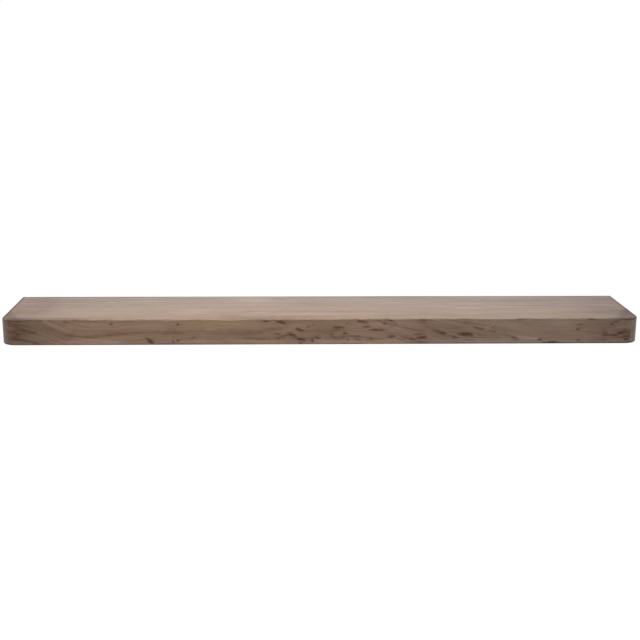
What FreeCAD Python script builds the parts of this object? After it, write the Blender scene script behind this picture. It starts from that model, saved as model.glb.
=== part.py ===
import FreeCAD, Part

# Floating wall shelf: a hollow acacia board that slides over a steel bracket with welded rods.
# Millimetres, +Z up. The wall is the plane y = 0 and the shelf stands out along -Y.
# The origin is the centre of the bracket's back face, on the wall.

import os
from math import cos, pi, sin

from FreeCAD import Vector

# The board as a whole
shelf_length = 1500.0
shelf_depth = 250.0            # from the wall to the front face
shelf_height = 60.0
corner_radius = 34.0           # upright front corners
edge_radius = 2.0              # long outer edges
wall_gap = 0.5                 # between the wall and the wood

# Outer boards
panel_thickness = 16.0
front_rail_width = 45.0
end_board_thickness = 20.0

# Tongues of the panels, in grooves of the front rail
tongue_thickness = 6.0
tongue_length = 8.0
tongue_stop = 25.0             # from the board's end to the end of a tongue
glue_gap = 0.1                 # beside tongues, laps and dowels
glue_relief = 0.5              # past the end of tongues and dowels

# Core
rear_rail_width = 30.0
middle_rail_width = 30.0
front_bay = 40.0               # open room between the middle rail and the front rail
rib_width = 18.0
dowel_diameter = 8.0
dowel_length = 30.0
dowel_in_end_board = 12.0      # how far the rear rail's dowel enters the end board

# Wall plate and its rods
plate_height = 40.0
plate_thickness = 5.0
plate_corner_radius = 6.0
plate_inset = 80.0             # from the board's end to the plate's end
rod_count = 5
rod_diameter = 16.0
rod_tip_gap = 20.0             # from a rod's tip to the front rail
rod_inset = 110.0              # from the plate's end to the outer rod
rod_tip_chamfer = 2.0
weld_leg = 3.0

# Clearances round the bracket
rod_clearance = 0.3            # between a rod and its bore
recess_clearance = 0.5         # round the plate and in front of it
weld_clearance = 1.0           # outside the welds

# Wall screws: round holes near the middle, slots elsewhere, pockets for the heads
screw_hole_diameter = 8.5
slot_length = 22.0
screw_inset = 40.0             # from the plate's end to the outer slot's centre
head_pocket_diameter = 22.0
head_pocket_depth = 8.0

# Lock screws, from below against the two outer rods
lock_screw_diameter = 6.0
lock_screw_recess = 1.0        # from the underside to the screw's end
lock_gap = 0.3                 # between a backed-off screw and its rod
thread_clearance = 0.1
socket_width = 3.0
socket_depth = 3.0
insert_diameter = 9.0
insert_length = 12.0
insert_clearance = 0.1

# Places that follow from the sizes
half_length = shelf_length / 2
half_height = shelf_height / 2
half_core = half_height - panel_thickness
half_tongue = tongue_thickness / 2
tongue_z = half_height - panel_thickness / 2
half_tongue_run = half_length - tongue_stop
end_board_x = half_length - end_board_thickness
front_y = -shelf_depth
back_y = -wall_gap
rail_back_y = front_y + front_rail_width
rear_rail_front_y = back_y - rear_rail_width
middle_rail_front_y = rail_back_y + front_bay
middle_rail_back_y = middle_rail_front_y + middle_rail_width

half_plate = half_length - plate_inset
outer_rod_x = half_plate - rod_inset
rod_pitch = 2 * outer_rod_x / (rod_count - 1)
rod_places = [-outer_rod_x + i * rod_pitch for i in range(rod_count)]
bay_places = [x + rod_pitch / 2 for x in rod_places[:-1]]
outer_rib_x = (outer_rod_x + end_board_x) / 2
rib_places = [-outer_rib_x] + bay_places + [outer_rib_x]

outer_screw_x = half_plate - screw_inset
round_hole_places = [x for x in bay_places if abs(x) < rod_pitch]
slot_places = [-outer_screw_x] + [x for x in bay_places if abs(x) > rod_pitch] + [outer_screw_x]
slot_travel = slot_length - screw_hole_diameter

rod_radius = rod_diameter / 2
rod_tip_y = rail_back_y + rod_tip_gap
bore_radius = rod_radius + rod_clearance
recess_floor_y = -(plate_thickness + recess_clearance)
lock_y = (recess_floor_y + rear_rail_front_y) / 2
lock_places = [rod_places[0], rod_places[-1]]

ALONG_X = Vector(1, 0, 0)
ALONG_Y = Vector(0, 1, 0)
ALONG_Z = Vector(0, 0, 1)


def block(x_range, y_range, z_range):
    """A rectangular solid; each range is its two limits, in either order."""
    low = Vector(min(x_range), min(y_range), min(z_range))
    high = Vector(max(x_range), max(y_range), max(z_range))
    return Part.makeBox(high.x - low.x, high.y - low.y, high.z - low.z, low)


def round_bar(radius, start, end):
    """A cylinder from one point to another."""
    run = end.sub(start)
    return Part.makeCylinder(radius, run.Length, start, run)


def centred_dowel(centre, direction):
    return round_bar(
        dowel_diameter / 2,
        centre.sub(direction * (dowel_length / 2)),
        centre.add(direction * (dowel_length / 2)),
    )


def dowel_hole(centre, direction):
    half_hole = dowel_length / 2 + glue_relief
    return round_bar(
        dowel_diameter / 2 + glue_gap,
        centre.sub(direction * half_hole),
        centre.add(direction * half_hole),
    )


def rounded_bar(half_width, half_tall, radius, y_from, y_to):
    """A flat bar that lies along X, with its four corners rounded as seen from the front."""
    bar = block((-half_width, half_width), (y_from, y_to), (-half_tall, half_tall))
    corners = [edge for edge in bar.Edges if abs(edge.tangentAt(edge.FirstParameter).y) > 0.99]
    return bar.makeFillet(radius, corners)


def slot_cutter(x, diameter, travel, y_from, y_to):
    """A hole along Y, drawn out along X by the travel."""
    radius = diameter / 2
    left = Vector(x - travel / 2, y_from, 0)
    right = Vector(x + travel / 2, y_from, 0)
    depth = Vector(0, y_to - y_from, 0)
    hole = round_bar(radius, left, left.add(depth))
    if travel > 0:
        hole = hole.fuse(round_bar(radius, right, right.add(depth)))
        hole = hole.fuse(block((left.x, right.x), (y_from, y_to), (-radius, radius)))
        hole = hole.removeSplitter()
    return hole


# --- The outer form, which the outer boards are cut from ---------------------------------------


def plan_outline():
    """The board seen from above: square at the wall, with two rounded front corners."""
    straight_x = half_length - corner_radius
    straight_y = front_y + corner_radius
    reach = corner_radius * cos(pi / 4)
    back_left = Vector(-half_length, back_y, -half_height)
    back_right = Vector(half_length, back_y, -half_height)
    side_right = Vector(half_length, straight_y, -half_height)
    front_right = Vector(straight_x, front_y, -half_height)
    front_left = Vector(-straight_x, front_y, -half_height)
    side_left = Vector(-half_length, straight_y, -half_height)
    mid_right = Vector(straight_x + reach, straight_y - reach, -half_height)
    mid_left = Vector(-straight_x - reach, straight_y - reach, -half_height)
    edges = [
        Part.LineSegment(back_left, back_right).toShape(),
        Part.LineSegment(back_right, side_right).toShape(),
        Part.Arc(side_right, mid_right, front_right).toShape(),
        Part.LineSegment(front_right, front_left).toShape(),
        Part.Arc(front_left, mid_left, side_left).toShape(),
        Part.LineSegment(side_left, back_left).toShape(),
    ]
    return Part.Wire(edges)


def outer_form():
    slab = Part.Face(plan_outline()).extrude(ALONG_Z * shelf_height)
    eased = []
    for edge in slab.Edges:
        box = edge.BoundBox
        level = box.ZLength < 0.01
        at_wall = box.YMin > back_y - 0.01
        if level and not at_wall:
            eased.append(edge)
    return slab.makeFillet(edge_radius, eased)


def plate_recess():
    """The room for the wall plate, cut from everything at the back of the board."""
    return rounded_bar(
        half_plate + recess_clearance,
        plate_height / 2 + recess_clearance,
        plate_corner_radius + recess_clearance,
        recess_floor_y,
        0,
    )


# --- Outer boards ------------------------------------------------------------------------------


def front_dowel_centre(side):
    return Vector(side * (half_length - end_board_thickness / 2), rail_back_y, 0)


def rear_dowel_centre(side):
    middle_x = end_board_x + dowel_in_end_board - dowel_length / 2
    return Vector(side * middle_x, (back_y + rear_rail_front_y) / 2, 0)


def front_rail(form):
    rail = form.common(
        block((-half_length, half_length), (front_y, rail_back_y), (-half_height, half_height))
    )
    half_run = half_tongue_run + glue_gap
    half_groove = half_tongue + glue_gap
    floor_y = rail_back_y - tongue_length - glue_relief
    for side in (-1, 1):
        level = side * tongue_z
        groove = block(
            (-half_run, half_run),
            (floor_y, rail_back_y),
            (level - half_groove, level + half_groove),
        )
        rail = rail.cut(groove)
        rail = rail.cut(dowel_hole(front_dowel_centre(side), ALONG_Y))
    return rail


def panel(form, side):
    """The top panel for side 1, the bottom panel for side -1."""
    board = form.common(
        block(
            (-half_length, half_length),
            (rail_back_y, back_y),
            (side * half_core, side * half_height),
        )
    )
    level = side * tongue_z
    tongue = block(
        (-half_tongue_run, half_tongue_run),
        (rail_back_y - tongue_length, rail_back_y),
        (level - half_tongue, level + half_tongue),
    )
    return board.fuse(tongue).removeSplitter().cut(plate_recess())


def bottom_panel(form):
    board = panel(form, -1)
    hole_radius = insert_diameter / 2 + insert_clearance
    for x in lock_places:
        below = Vector(x, lock_y, -half_height)
        board = board.cut(round_bar(hole_radius, below, Vector(x, lock_y, -half_core)))
    return board


def end_board(form, side):
    board = form.common(
        block(
            (side * end_board_x, side * half_length),
            (rail_back_y, back_y),
            (-half_core, half_core),
        )
    )
    board = board.cut(dowel_hole(front_dowel_centre(side), ALONG_Y))
    return board.cut(dowel_hole(rear_dowel_centre(side), ALONG_X))


# --- Core --------------------------------------------------------------------------------------


def core_rail(y_range):
    """A rail between the end boards, bored for the rods."""
    rail = block((-end_board_x, end_board_x), y_range, (-half_core, half_core))
    for x in rod_places:
        rail = rail.cut(round_bar(bore_radius, Vector(x, y_range[0], 0), Vector(x, y_range[1], 0)))
    return rail


def weld_countersink(x):
    """The flare at a bore's mouth that clears the weld."""
    mouth_radius = rod_radius + weld_leg + weld_clearance
    depth = mouth_radius - bore_radius
    mouth = Vector(x, recess_floor_y, 0)
    return Part.makeCone(mouth_radius, bore_radius, depth, mouth, ALONG_Y * -1)


def lock_screw_hole(x):
    radius = lock_screw_diameter / 2 + insert_clearance
    return round_bar(radius, Vector(x, lock_y, -half_core), Vector(x, lock_y, 0))


def rear_rail():
    rail = core_rail((rear_rail_front_y, back_y)).cut(plate_recess())
    for side in (-1, 1):
        rail = rail.cut(dowel_hole(rear_dowel_centre(side), ALONG_X))
    for x in rod_places:
        rail = rail.cut(weld_countersink(x))
    pocket_floor_y = recess_floor_y - head_pocket_depth
    for x in round_hole_places:
        rail = rail.cut(slot_cutter(x, head_pocket_diameter, 0, pocket_floor_y, recess_floor_y))
    for x in slot_places:
        rail = rail.cut(
            slot_cutter(x, head_pocket_diameter, slot_travel, pocket_floor_y, recess_floor_y)
        )
    for x in lock_places:
        rail = rail.cut(lock_screw_hole(x))
    return rail


def middle_rail():
    """Held by its half-laps with the ribs."""
    y_range = (middle_rail_front_y, middle_rail_back_y)
    rail = core_rail(y_range)
    half_notch = rib_width / 2 + glue_gap
    for x in rib_places:
        rail = rail.cut(block((x - half_notch, x + half_notch), y_range, (0, half_core)))
    return rail


def cross_rib(x):
    """A rib from the rear rail to the front rail, notched from below over the middle rail."""
    x_range = (x - rib_width / 2, x + rib_width / 2)
    rib = block(x_range, (rail_back_y, rear_rail_front_y), (-half_core, half_core))
    notch = block(
        x_range,
        (middle_rail_front_y - glue_gap, middle_rail_back_y + glue_gap),
        (-half_core, 0),
    )
    return rib.cut(notch)


def frame_dowels():
    dowels = []
    for side in (-1, 1):
        dowels.append(centred_dowel(front_dowel_centre(side), ALONG_Y))
        dowels.append(centred_dowel(rear_dowel_centre(side), ALONG_X))
    return Part.makeCompound(dowels)


# --- Lock screws -------------------------------------------------------------------------------


def lock_insert(x):
    """A threaded sleeve let into the underside, flush with it."""
    below = Vector(x, lock_y, -half_height)
    top = Vector(x, lock_y, -half_height + insert_length)
    sleeve = round_bar(insert_diameter / 2, below, top)
    return sleeve.cut(round_bar(lock_screw_diameter / 2, below, top))


def lock_screw(x):
    """A grub screw with a hexagon socket in its lower end."""
    low_z = -half_height + lock_screw_recess
    tip_z = -rod_radius - lock_gap
    radius = lock_screw_diameter / 2 - thread_clearance
    screw = round_bar(radius, Vector(x, lock_y, low_z), Vector(x, lock_y, tip_z))
    corner_reach = socket_width / 2 / cos(pi / 6)
    corners = []
    for i in range(7):
        angle = i * pi / 3
        corners.append(
            Vector(x + corner_reach * cos(angle), lock_y + corner_reach * sin(angle), low_z)
        )
    socket = Part.Face(Part.makePolygon(corners)).extrude(ALONG_Z * socket_depth)
    return screw.cut(socket)


# --- Wall bracket ------------------------------------------------------------------------------


def wall_plate():
    plate = rounded_bar(half_plate, plate_height / 2, plate_corner_radius, -plate_thickness, 0)
    for x in rod_places:
        plate = plate.cut(round_bar(rod_radius, Vector(x, 0, 0), Vector(x, -plate_thickness, 0)))
    for x in round_hole_places:
        plate = plate.cut(slot_cutter(x, screw_hole_diameter, 0, -plate_thickness, 0))
    for x in slot_places:
        plate = plate.cut(slot_cutter(x, screw_hole_diameter, slot_travel, -plate_thickness, 0))
    return plate


def rod(x):
    """A round bar through the plate, flush with its back, with a chamfered tip."""
    bar = round_bar(rod_radius, Vector(x, 0, 0), Vector(x, rod_tip_y, 0))
    tip = [edge for edge in bar.Edges if edge.BoundBox.YMax < rod_tip_y + 0.01]
    return bar.makeChamfer(rod_tip_chamfer, tip)


def fillet_weld(x):
    """A ring of weld in the corner between the plate's front and a rod."""
    face_y = -plate_thickness
    section = Part.makePolygon([
        Vector(x + rod_radius, face_y, 0),
        Vector(x + rod_radius + weld_leg, face_y, 0),
        Vector(x + rod_radius, face_y - weld_leg, 0),
        Vector(x + rod_radius, face_y, 0),
    ])
    return Part.Face(section).revolve(Vector(x, 0, 0), ALONG_Y, 360)


def write(node, shape):
    shape.exportStep("parts/" + node + ".step")


os.makedirs("parts", exist_ok=True)

form = outer_form()
write("front_rail", front_rail(form))
write("top_panel", panel(form, 1))
write("bottom_panel", bottom_panel(form))
for side, name in ((-1, "left"), (1, "right")):
    write(name + "_end_board", end_board(form, side))
write("rear_rail", rear_rail())
write("middle_rail", middle_rail())
for number, x in enumerate(rib_places, start=1):
    write("cross_rib_" + str(number), cross_rib(x))
write("frame_dowels", frame_dowels())
write("lock_inserts", Part.makeCompound([lock_insert(x) for x in lock_places]))
write("lock_screws", Part.makeCompound([lock_screw(x) for x in lock_places]))

write("wall_plate", wall_plate())
for number, x in enumerate(rod_places, start=1):
    write("rod_" + str(number), rod(x))
write("rod_welds", Part.makeCompound([fillet_weld(x) for x in rod_places]))
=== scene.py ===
import math

import bmesh
import bpy
import numpy as np
from mathutils import Matrix, Vector

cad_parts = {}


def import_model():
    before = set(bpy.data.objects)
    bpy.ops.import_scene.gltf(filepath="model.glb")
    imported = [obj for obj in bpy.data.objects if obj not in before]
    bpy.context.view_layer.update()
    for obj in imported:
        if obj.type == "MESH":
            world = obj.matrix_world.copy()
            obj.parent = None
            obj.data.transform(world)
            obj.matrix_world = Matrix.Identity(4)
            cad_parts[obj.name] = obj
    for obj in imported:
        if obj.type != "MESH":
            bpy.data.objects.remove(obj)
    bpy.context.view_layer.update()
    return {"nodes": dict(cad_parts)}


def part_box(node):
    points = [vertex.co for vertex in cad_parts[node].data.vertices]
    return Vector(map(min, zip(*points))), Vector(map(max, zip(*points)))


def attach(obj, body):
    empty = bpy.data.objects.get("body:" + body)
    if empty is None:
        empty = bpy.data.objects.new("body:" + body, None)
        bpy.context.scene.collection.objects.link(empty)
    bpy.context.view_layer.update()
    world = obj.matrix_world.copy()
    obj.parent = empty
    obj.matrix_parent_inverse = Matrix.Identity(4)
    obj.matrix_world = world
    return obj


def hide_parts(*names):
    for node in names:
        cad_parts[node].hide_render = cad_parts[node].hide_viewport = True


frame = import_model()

# The looks of the floating wall shelf. Blender works in metres. The wood's figure and its patterns are
# in millimetres, which are easier to read, so places are divided by MM before they are compared with it.
MM = 0.001

RODS = [f"rod_{k}" for k in range(1, 6)]
RIBS = [f"cross_rib_{k}" for k in range(1, 7)]

# The camera stands in front of the shelf and a little above it: its place, its turns in degrees and
# its focal length in millimetres.
CAMERA_PLACE = (-0.10077, -2.78292, 0.65435)
CAMERA_YAW = -2.1134
CAMERA_PITCH = -13.8544
CAMERA_ROLL = -0.3454
CAMERA_LENS = 62.853

# The strength of the white surroundings' light on the object.
AMBIENT = 0.40

# Softboxes: name, place, the point they face, width and height, power in watts.
SOFTBOXES = (
    ("top_softbox", (-0.20, -0.42, 1.13), (-0.14, -0.1, 0.0), (0.9, 0.8), 18.3),
    ("front_softbox", (0.3, -3.2, 0.9), (0.0, -0.2, 0.0), (4.4, 2.4), 34.2),
)

# The shelf hangs this far above the floor, whose glow makes it look white where it is seen.
FLOOR_DROP = 2.4
FLOOR_SIZE = 40.0
FLOOR_GLOW = 0.70
FLOOR_PAINT = (0.8, 0.8, 0.8, 1.0)
WHITE = (1.0, 1.0, 1.0, 1.0)

# Shape of the front rail, as it is in the CAD model.
CORNER_RADIUS = 0.034
EDGE_RADIUS = 0.002

# The rail's mesh: the width of its columns on the straight front, the steps round a corner and round an
# edge, the rows up the face, how far behind the face the rows on top and below lie, the distance at
# which points are merged, and the angle in degrees from which an edge looks sharp.
COLUMN_SPACING = 0.0015
CORNER_STEPS = 24
EDGE_STEPS = 6
FACE_ROWS = 38
TOP_INSETS = (0.0035, 0.006, 0.010, 0.016, 0.024, 0.034)
MERGE_DISTANCE = 1e-7
RAIL_SHARP = 40

# The weld beads: steps round the rod, points across the bead, ripples round it, how deep they are as a
# share of the bead's size, and how far it bulges from a straight fillet to a quarter round.
BEAD_STEPS = 204
BEAD_POINTS = 7
BEAD_RIPPLES = 34
RIPPLE_DEPTH = 0.14
BEAD_BULGE = 0.35

# How far a ripple curves, in ripples, how much the bead's size wavers along its way, the least share of
# its size that its two edges keep, how far the wavering is turned from one bead to the next, in
# radians, and the angle in degrees from which an edge looks sharp.
RIPPLE_CURVE = 0.4
BEAD_WAVER = 0.05
BEAD_EDGE = 0.9
BEAD_TURN = 1.9
BEAD_SHARP = 50

# The figure of the wood on the front face, with painted light and shade along its bottom edge and round
# corners, in millimetres from the middle of the shelf. It fades over this depth behind the face, so that
# marks near the top edge also show on top.
FIGURE_DEPTH = 9.0

# Knots: x, z, length, height, slope in degrees, darkness.
KNOTS = (
    (-711, 27, 20, 3.5, 0, 0.16),
    (-698, 8.5, 12, 4.5, -6, 0.45),
    (-708, -3, 9, 4.5, 0, 0.18),
    (-717, -10, 9, 7, 0, 0.18),
    (-600, 30, 5, 4, 0, 0.30),
    (-594, 27, 6, 4, 0, 0.26),
    (-600, 23, 5, 3.5, 0, 0.45),
    (-602, 15.5, 6, 4, -10, 0.50),
    (-608, 18, 7, 3, -10, 0.40),
    (-492, 21, 9, 8, 0, 0.75),
    (-408, -17, 14, 7, -30, 0.60),
    (-401, -23, 18, 8, -22, 0.75),
    (-338, 19, 8, 6, 20, 0.75),
    (-350, -22, 8, 6, 0, 0.75),
    (-339, -20, 8, 7, 40, 0.80),
    (-302, -12, 10, 3.5, 0, 0.55),
    (-135, 26, 18, 4.5, -8, 0.75),
    (-98, 24.5, 24, 5.5, -18, 0.80),
    (-107, -3.5, 18, 4.5, -12, 0.65),
    (-103, -15.5, 8, 3.5, 0, 0.50),
    (-93, -15, 6, 3, 0, 0.50),
    (-55, 6, 19, 8, -22, 0.80),
    (-61, 9, 6, 4, 0, 0.40),
    (-35, 13.5, 5, 4, 0, 0.55),
    (-25, 18, 8, 2.5, 20, 0.35),
    (-76, -5, 14, 8, -20, 0.55),
    (-66, -9, 13, 6.5, -38, 0.50),
    (-50, -18, 21, 6, -14, 0.85),
    (-52, -27, 6, 4, 0, 0.75),
    (-25, -20.5, 6, 10, 0, 0.65),
    (-12, -14.5, 18, 4.5, -14, 0.85),
    (-5, -22, 6, 3, 0, 0.35),
    (37, 11.5, 25, 5, -3, 0.85),
    (29, 11.5, 5, 4.5, 0, 0.40),
    (32, 6.5, 6, 3, 0, 0.35),
    (37, 4, 6, 3.5, 0, 0.45),
    (53.5, -3.5, 12, 5, 0, 0.80),
    (56, 20.5, 6, 4, 0, 0.55),
    (65, 19, 14, 3.5, -8, 0.45),
    (93, 24, 30, 6.5, -3, 0.90),
    (102, 12.5, 22, 5.5, 2, 0.75),
    (129, 5, 34, 6.5, 0, 0.92),
    (149, 5.5, 9, 3, 0, 0.35),
    (151, 29, 20, 4.5, -8, 0.80),
    (144, 20, 7, 4, 0, 0.45),
    (160, 13, 6, 3, 0, 0.40),
    (188, 18, 11, 3, 0, 0.30),
    (81, -11, 8, 3.5, 0, 0.40),
    (60, -18, 7, 4, 0, 0.65),
    (84, -18, 17, 4, -6, 0.70),
    (113.5, -18, 5, 4, 0, 0.45),
    (162, -11, 20, 6, -3, 0.90),
    (185, -12, 17, 3, 0, 0.40),
    (192, -16, 6, 4, 0, 0.50),
    (197.5, -12, 3.5, 10, 0, 0.30),
    (222, -6, 19, 4, 0, 0.70),
    (232, -14, 23, 6, 2, 0.85),
    (210, -18, 25, 6, -4, 0.58),
    (235, 29, 20, 4, 0, 0.40),
    (285, -2.5, 18, 5, 0, 0.60),
    (269, 0.5, 26, 6, -12, 0.45),
    (281, -6, 14, 7, -20, 0.30),
    (309, -13.5, 12, 4, 0, 0.50),
    (320, -5, 6, 5, 0, 0.50),
    (338, -6, 31, 9.5, -3, 0.95),
    (352, -10.5, 8, 4, 0, 0.35),
    (359, 10.5, 13, 4, -14, 0.50),
    (392, 17.5, 9, 3, 0, 0.25),
    (400, 10, 7, 4, 0, 0.45),
    (404, 0, 9, 3.5, 0, 0.50),
    (362, -4.5, 6, 3, 0, 0.35),
    (368, -7.5, 7, 3, 0, 0.35),
    (454, -16, 14, 7, -24, 0.35),
    (470, 30, 18, 4, 0, 0.55),
    (512, -19.5, 13, 5.5, 0, 0.90),
    (543, -26, 25, 5.5, 0, 0.85),
    (634, 29, 20, 4, 0, 0.65),
    (604.5, 16.5, 17, 3, 0, 0.60),
    (606, 10, 12, 2.5, 0, 0.20),
    (602, 5, 11, 5, 0, 0.80),
    (604, -22, 8, 4.5, 0, 0.75),
    (630, -0.5, 13, 2.5, 0, 0.20),
    (692, 22.5, 10, 4.5, 0, 0.55),
    (683.5, 18, 6, 5, 0, 0.50),
    (690, 15.5, 13, 3, 0, 0.30),
    (699, 26, 6, 4, 0, 0.30),
    (668, -4, 11, 4, 0, 0.25),
    (669, -8.5, 12, 5, -4, 0.38),
    (668, -16, 11, 6, 0, 0.32),
    (687, -9.5, 12, 5, 0, 0.30),
    (702, -4.5, 8, 5, 0, 0.70),
    (711, -2.5, 22, 5, 5, 0.90),
    (716, 4, 11, 4, 0, 0.45),
    (719, -20.5, 14, 6, 0, 0.70),
    (717, -13, 18, 12, 0, 0.42),
)

# Lines and bands: the points they pass through, their width, and how dark, pale and rosy they are. The
# first is the darker line of the eased top edge, which stops short of the round corners.
STREAKS = (
    (((-722, 29.4), (718, 29.4)), 1.7, (0.62, 0, 0)),
    (((-694, 7), (-685, 5), (-675, 2), (-667, 1)), 4, (0.35, 0, -0.4)),
    (((-712, 1.5), (-703, 1.5)), 2.5, (0, 0.5, 0)),
    (((-702, 11.5), (-690, 11)), 2.5, (0, 0.4, 0)),
    (((-722, -14), (-705, -17), (-688, -19), (-678, -21), (-665, -23)), 3, (0.45, 0, 0.1)),
    (((-713, 18), (-713, -10)), 18, (0.25, 0, 0.1)),
    (((-656, 28), (-647, 21), (-636, 13), (-620, 4), (-605, -2), (-585, -6)), 10, (0.20, 0, 0)),
    (((-648, 29), (-636, 23), (-622, 17), (-606, 11), (-590, 5)), 6, (0, 0.45, -0.2)),
    (((-637, 29), (-624, 23), (-612, 18)), 3, (0.28, 0, 0)),
    (((-602, 30), (-590, 24), (-570, 18), (-550, 15)), 2.5, (0.15, 0, 0)),
    (((-583, 29), (-560, 27), (-540, 22)), 2.5, (0.18, 0, 0)),
    (((-650, -16), (-635, -18), (-620, -19)), 2.5, (0.20, 0, 0)),
    (((-598, -5), (-580, -8), (-550, -10), (-520, -8), (-490, -6)), 4.5, (0.16, 0, -0.1)),
    (((-500, -6), (-470, -3), (-430, 0), (-385, 3)), 4, (0.20, 0, 0)),
    (((-552, -12), (-525, -11)), 3, (0.22, 0, 0)),
    (((-590, -20), (-550, -17), (-510, -19), (-480, -22)), 6, (0, 0.35, 0.2)),
    (((-560, -26), (-520, -25), (-480, -26)), 3, (0, 0.4, 0)),
    (((-362, 7), (-352, 8), (-344, 3)), 5, (0.28, 0, 0)),
    (((-375, -2), (-350, -4), (-325, -3)), 3, (0.15, 0, 0)),
    (((-272, 8), (-252, 8)), 3, (0, 0.5, 0.3)),
    (((-300, -16), (-240, -20), (-190, -18), (-150, -23), (-95, -20)), 4, (0, 0.35, -0.2)),
    (((-185, -13), (-150, -16), (-125, -17)), 3.5, (0.25, 0, 0)),
    (((-112, -17), (-104, -13), (-96, -10), (-84, -6)), 3, (0.35, 0, 0)),
    (((-37, 12), (-28, 15), (-20, 19)), 2.5, (0.25, 0, 0.3)),
    (((-26, 3), (-15, 4), (-5, 8)), 3, (0.18, 0, 0)),
    (((-26, -6), (0, -6)), 4, (0.15, 0, 0)),
    (((-20, -17), (-8, -19), (0, -14)), 3, (0, 0.5, 0)),
    (((28, 9), (21, 2), (21, -8), (26, -14), (46, -15)), 9, (0.42, 0, -0.1)),
    (((49, 9), (49, -14)), 3.5, (0.22, 0, 0)),
    (((58, -10), (76, -10)), 3, (0.35, 0, 0)),
    (((81, -11), (92, -12.5), (112, -14)), 3, (0.36, 0, 0)),
    (((112, -15), (130, -16), (152, -16)), 3.5, (0.40, 0, -0.4)),
    (((52, -16), (58, -17)), 3, (0.30, 0, 0)),
    (((72, -15), (80, -17)), 3, (0.35, 0, 0)),
    (((100, -20), (125, -21)), 3, (0.25, 0, 0)),
    (((176, -16), (190, -16)), 3, (0.45, 0, 0)),
    (((171, -15), (175, -12)), 4, (0, 0.5, 0)),
    (((196, -18), (200, -17)), 3, (0, 0.6, 0)),
    (((128, 27), (137, 24), (144, 21)), 3, (0.38, 0, 0)),
    (((144, 20), (160, 18), (172, 15), (182, 12), (193, 10.5)), 3.5, (0.45, 0, 0)),
    (((193, 10), (205, 7), (222, 4), (236, 2.5)), 3, (0.38, 0, 0)),
    (((158, 28), (166, 24), (171, 22)), 3, (0.38, 0, 0)),
    (((229, -5), (237, -6), (241, -10)), 2.5, (0.40, 0, 0)),
    (((228, 29), (236, 21), (246, 14), (258, 9), (266, 5)), 4, (0.20, 0, 0)),
    (((256, 10), (272, 8)), 3, (0.20, 0, 0)),
    (((290, -7), (300, -9), (318, -16)), 4, (0.25, 0, 0)),
    (((365, 8), (377, 6), (383, 3), (398, 2)), 3.5, (0.50, 0, 0)),
    (((381, 5), (397, 4.5)), 2.5, (0, 0.6, 0)),
    (((386, 12), (396, 13), (399, 16)), 4, (0, 0.5, 0)),
    (((338, -19), (356, -20)), 2.5, (0.30, 0, 0)),
    (((427, -1), (433, -8), (442, -11), (450, -14)), 3, (0.25, 0, 0)),
    (((446, -20), (462, -22)), 3, (0.30, 0, 0)),
    (((470, -15), (485, -16), (508, -18)), 4, (0, 0.6, 0.2)),
    (((461, -13), (466, -14)), 3.5, (0, 0.8, 0)),
    (((450, -11), (458, -16), (464, -17.5)), 3, (0.25, 0, 0)),
    (((430, 22), (440, 14), (455, 6)), 3, (0, 0.2, 0)),
    (((663, -8), (676, -10), (694, -11)), 7, (0.18, 0, 0.4)),
    (((675, -3.5), (693, -3.5)), 3, (0, 0.4, 0)),
    (((687, 19), (697, 19)), 3, (0, 0.4, 0)),
    # The next nine lines are the light and dark bands up the two round corners: painted highlights and
    # painted shade where the corners turn towards and away from the light.
    (((722, 27), (723, 0), (725, -24)), 4, (0.15, 0, 0)),
    (((729, 30), (729, -28)), 3, (0.25, 0, 0)),
    (((724, 24), (724, 6)), 4, (0, 0.5, 0.4)),
    (((732, 26), (732, -28)), 3, (0, 0.5, 0)),
    (((737, 30), (737, -28)), 4, (0.14, 0, 0.1)),
    (((742, 24), (742, -28)), 4, (0, 0.25, -0.2)),
    (((728, 29), (738, 29)), 4, (0.15, 0, 0)),
    (((-743, 30), (-743, -28)), 6, (0, 0.6, 0)),
    (((-734, 30), (-735, -20)), 4, (0, 0.25, 0)),
    # The last four lines darken the bottom edge: painted shade where the rounded edge turns down, away from
    # the light.
    (((-740, -28), (-520, -28.5), (-300, -28)), 2.5, (0.25, 0, 0)),
    (((5, -28.5), (95, -28)), 2.5, (0.45, 0, 0)),
    (((200, -28), (440, -28), (520, -28.5)), 2.5, (0.25, 0, 0)),
    (((520, -28), (600, -28.5), (735, -28)), 3, (0.65, 0, 0)),
)

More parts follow.
